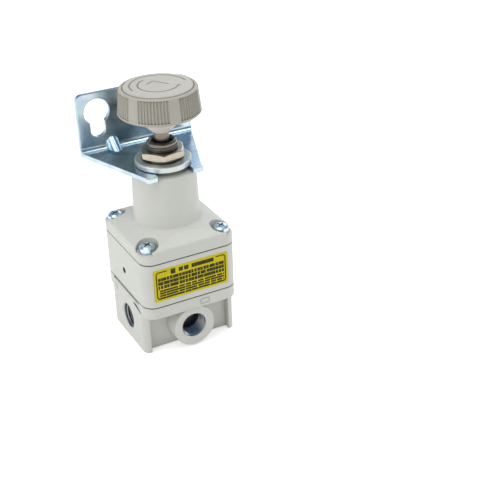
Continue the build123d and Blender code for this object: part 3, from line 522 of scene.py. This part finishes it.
for part in frame["record"]["subparts"]:
    dress(nodes[part["node"]], finishes[part["material_slot"]])
dress(nodes["lower_body"], lower_paint)
dress(nodes["middle_body"], middle_paint)


# Pieces


def piece(name, mesh, slot, body):
    """Makes an object from a bmesh and lets it ride on a CAD body."""
    bmesh.ops.recalc_face_normals(mesh, faces=mesh.faces)
    data = bpy.data.meshes.new(name)
    mesh.to_mesh(data)
    mesh.free()
    made = bpy.data.objects.new(name, data)
    bpy.context.scene.collection.objects.link(made)
    dress(made, finishes[slot])
    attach(made, body)
    return made


def skin(mesh, rings):
    """Joins rings of points into a closed skin with an end at each side."""
    for first, second in zip(rings, rings[1:]):
        for index in range(len(first)):
            following = (index + 1) % len(first)
            mesh.faces.new((first[index], first[following], second[following], second[index]))
    mesh.faces.new(rings[0][::-1])
    mesh.faces.new(rings[-1])


def thread(name, start, axis, root, crest, pitch, length, slot):
    """A screw thread on the housing, as one closed ridge wound round an axis."""
    side = axis.orthogonal().normalized()
    other = axis.cross(side)
    steps = 40
    run_out = steps / 4
    lowest_crest = 0.05
    foot = 0.46 * pitch
    flat = 0.08 * pitch
    mesh = bmesh.new()
    rings = []
    count = int((length / pitch - 1) * steps)
    for step in range(count + 1):
        angle = tau * step / steps
        out = side * cos(angle) + other * sin(angle)
        along = start + axis * pitch * (step / steps + 0.5)
        fade = min(1.0, step / run_out, (count - step) / run_out)
        peak = root + (crest - root) * max(fade, lowest_crest)
        ring = [
            along + out * root - axis * foot,
            along + out * peak - axis * flat,
            along + out * peak + axis * flat,
            along + out * root + axis * foot,
        ]
        rings.append([mesh.verts.new(point) for point in ring])
    skin(mesh, rings)
    return piece(name, mesh, slot, "housing")


casting = nodes["lower_body"].data
casting_surface = BVHTree.FromPolygons(
    [vertex.co.copy() for vertex in casting.vertices],
    [polygon.vertices[:] for polygon in casting.polygons],
)


def side_ridge(name, route, width, rise):
    """A low rounded ridge on the inlet side, along a route of (Y, Z) points in millimetres."""
    inward = Vector((1, 0, 0))
    outward = -inward
    reach = 5 * MM
    sunk = 0.02 * MM
    tip_share = 0.35
    profile = 7
    route = [Vector((low("lower_body").x, y * MM, z * MM)) for y, z in route]
    mesh = bmesh.new()
    rings = []
    for index, point in enumerate(route):
        before = route[max(index - 1, 0)]
        after = route[min(index + 1, len(route) - 1)]
        along = (after - before).normalized()
        side = along.cross(outward).normalized()
        tip = tip_share if index in (0, len(route) - 1) else 1.0
        foot = casting_surface.ray_cast(point + outward * reach, inward)[0]
        ring = []
        for step in range(profile):
            angle = pi * step / (profile - 1)
            spread = side * cos(angle) * width / 2 * tip
            ring.append(mesh.verts.new(foot + spread + outward * (sin(angle) * rise * tip - sunk)))
        rings.append(ring)
    skin(mesh, rings)
    made = piece(name, mesh, "casting_paint", "housing")
    for face in made.data.polygons:
        face.use_smooth = True
    return made


# Threads in the three ports, each starting a little behind its mouth
port_root = 4.42 * MM
port_crest = 4.02 * MM
port_pitch = 0.907 * MM
port_length = 6.6 * MM
mouth_setback = 0.3 * MM
gauge_boss_setback = 0.35 * MM
inlet_start = low("lower_body").x + mouth_setback
outlet_start = high("lower_body").x - mouth_setback
gauge_start = low("lower_body").y + gauge_boss_setback + mouth_setback
for name, start, axis in (
    ("inlet_thread", Vector((inlet_start, 0, port_height)), Vector((1, 0, 0))),
    ("outlet_thread", Vector((outlet_start, 0, port_height)), Vector((-1, 0, 0))),
    ("gauge_port_thread", Vector((0, gauge_start, port_height)), Vector((0, 1, 0))),
):
    made = thread(name, start, axis, port_root, port_crest, port_pitch, port_length, "inner_aluminium")
    dress(made, bare_metal_and_painted_shade)

# The thread on the sleeve under the knob, from inside the nut to just short of the sleeve's top
sleeve_root = 4.85 * MM
sleeve_crest = 5.32 * MM
sleeve_pitch = 0.95 * MM
sleeve_start = high("panel_nut").z - 1.6 * MM
sleeve_end = high("panel_bushing").z - 0.3 * MM
thread(
    "sleeve_thread",
    Vector((0, 0, sleeve_start)),
    Vector((0, 0, 1)),
    sleeve_root,
    sleeve_crest,
    sleeve_pitch,
    sleeve_end - sleeve_start,
    "stem_steel",
)

# The two springs are copied as coils that ride on the housing, in place of their CAD parts
for name, joint in (("setting_spring", "seat_travel"), ("valve_spring", "valve_slide")):
    coil = bpy.data.objects.new(name + "_coil", nodes[name].data.copy())
    bpy.context.scene.collection.objects.link(coil)
    dress(coil, finishes["spring_steel"])
    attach(coil, "housing")
    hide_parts(name)
    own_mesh(coil)

# Small cast marks on the inlet side; the front one is dressed in the dark metal as a painted shadow along it
front_route = [(-6.1, 17.1), (-7.4, 17.2), (-8.7, 17.1), (-10.6, 16.5), (-12.6, 15.7)]
rear_route = [(11.0, 16.9), (10.3, 16.5), (9.4, 15.7), (8.6, 14.9)]
painted_shadow_mark = side_ridge("cast_mark_front", front_route, width=0.55 * MM, rise=0.4 * MM)
dress(painted_shadow_mark, bare_metal_and_painted_shade)
side_ridge("cast_mark_rear", rear_route, width=0.5 * MM, rise=0.25 * MM)


# Studio


def stage_floor():
    """A wide flat floor just under the object."""
    gap = 0.1 * MM
    mesh = bmesh.new()
    bmesh.ops.create_grid(mesh, x_segments=8, y_segments=8, size=1.5)
    data = bpy.data.meshes.new("floor")
    mesh.to_mesh(data)
    mesh.free()
    floor = bpy.data.objects.new("floor", data)
    bpy.context.scene.collection.objects.link(floor)
    floor.location.z = cad_box[0][2] - gap
    floor.data.materials.append(floor_paint())


def softbox(name, direction, width, depth, watts):
    """An area lamp on a sphere round the object that looks at its middle."""
    distance = 0.75
    centre = (Vector(cad_box[0]) + Vector(cad_box[1])) / 2
    data = bpy.data.lights.new(name, "AREA")
    data.shape = "RECTANGLE"
    data.size = width
    data.size_y = depth
    data.energy = watts
    lamp = bpy.data.objects.new(name, data)
    bpy.context.scene.collection.objects.link(lamp)
    offset = Vector(direction).normalized() * distance
    lamp.location = centre + offset
    lamp.rotation_euler = offset.to_track_quat("Z", "Y").to_euler()


def studio_world():
    """White to the camera, white to blue-grey overhead in reflections, and plain grey as light."""
    world = bpy.data.worlds.new("studio")
    bpy.context.scene.world = world
    world.use_nodes = True
    tree = world.node_tree
    tree.nodes.clear()

    def background(colour, strength=1.0):
        made = tree.nodes.new("ShaderNodeBackground")
        made.inputs["Color"].default_value = colour
        made.inputs["Strength"].default_value = strength
        return made

    def choose(share, first, second):
        made = tree.nodes.new("ShaderNodeMixShader")
        for socket, source in zip(made.inputs, (share, first, second)):
            tree.links.new(source, socket)
        return made.outputs[0]

    place = tree.nodes.new("ShaderNodeTexCoord")
    split = tree.nodes.new("ShaderNodeSeparateXYZ")
    tree.links.new(place.outputs["Generated"], split.inputs[0])
    ramp = tree.nodes.new("ShaderNodeValToRGB")
    tree.links.new(split.outputs["Z"], ramp.inputs["Fac"])
    ramp.color_ramp.elements[0].position = 0.16
    ramp.color_ramp.elements[0].color = WHITE
    ramp.color_ramp.elements[1].position = 0.42
    ramp.color_ramp.elements[1].color = linear("#6085A8")
    mirrored = background(WHITE)
    tree.links.new(ramp.outputs["Color"], mirrored.inputs["Color"])
    light = background((0.97, 0.98, 1.0, 1.0), 0.5)
    path = tree.nodes.new("ShaderNodeLightPath")
    sharp = tree.nodes.new("ShaderNodeMath")
    sharp.operation = "MAXIMUM"
    tree.links.new(path.outputs["Is Glossy Ray"], sharp.inputs[0])
    tree.links.new(path.outputs["Is Transmission Ray"], sharp.inputs[1])
    around = choose(sharp.outputs[0], light.outputs[0], mirrored.outputs[0])
    around = choose(path.outputs["Is Camera Ray"], around, background(WHITE).outputs[0])
    output = tree.nodes.new("ShaderNodeOutputWorld")
    tree.links.new(around, output.inputs["Surface"])


def photo_camera():
    """The camera of the photograph: 500 by 500 pixels on a 36 mm sensor."""
    focal_pixels = 1038.97
    azimuth = radians(-28.03)
    elevation = radians(29.07)
    roll = radians(-1.53)
    location = Vector((-125.89, -297.05, 207.74)) * MM
    picture_width = 500
    back = Vector((sin(azimuth) * cos(elevation), -cos(azimuth) * cos(elevation), sin(elevation)))
    right = Vector((cos(azimuth), sin(azimuth), 0))
    up = back.cross(right)
    rolled_right = right * cos(roll) + up * sin(roll)
    rolled_up = up * cos(roll) - right * sin(roll)
    data = bpy.data.cameras.new("photo_camera")
    data.sensor_width = 36.0
    data.lens = focal_pixels * data.sensor_width / picture_width
    data.clip_start = 0.01
    camera = bpy.data.objects.new("photo_camera", data)
    bpy.context.scene.collection.objects.link(camera)
    turn = Matrix((rolled_right, rolled_up, back)).transposed().to_4x4()
    camera.matrix_world = Matrix.Translation(location) @ turn
    bpy.context.scene.camera = camera


stage_floor()
studio_world()
softbox("left", (-0.87, -0.24, 0.43), 0.4, 0.4, 1.3)
softbox("right", (0.92, -0.3, 0.15), 0.3, 0.3, 1.0)
softbox("top", (-0.25, -0.08, 0.96), 0.5, 0.5, 1.9)
softbox("bend", (0.36, 0.0, 0.93), 0.5, 0.14, 0.8)
softbox("rear", (0.58, 0.75, 0.42), 0.26, 0.26, 0.5)
photo_camera()
bpy.context.scene.view_settings.view_transform = "Standard"

bpy.context.view_layer.update()
